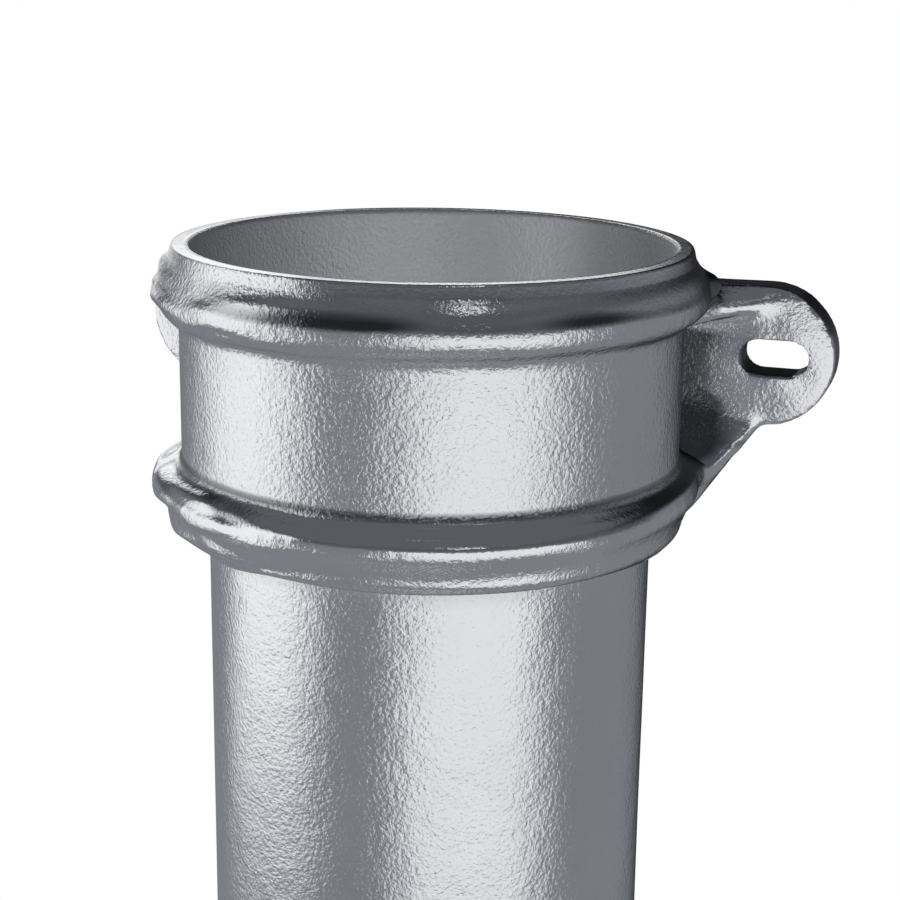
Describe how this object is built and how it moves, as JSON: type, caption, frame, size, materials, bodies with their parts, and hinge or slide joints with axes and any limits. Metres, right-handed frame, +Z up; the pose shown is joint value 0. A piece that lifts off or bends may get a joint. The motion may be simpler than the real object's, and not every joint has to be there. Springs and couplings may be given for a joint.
{
  "type": "cast iron downpipe",
  "caption": "Round cast iron rainwater downpipe with a beaded socket and slotted fixing ears, standing on its spigot end.",
  "frame": {"origin": "on the pipe's axis at the end face of the spigot, the bottom of the standing pipe", "axes": "+Z up along the pipe's axis to the socket, +Y to the wall that the ears are fixed to, +X along the line of the ears"},
  "size_m": [0.1874, 0.1368, 0.61],
  "materials": {
    "casting": "bright metallic grey gloss over a cast skin"
  },
  "bodies": {
    "root": {"downpipe": "casting"}
  },
  "joints": []
}
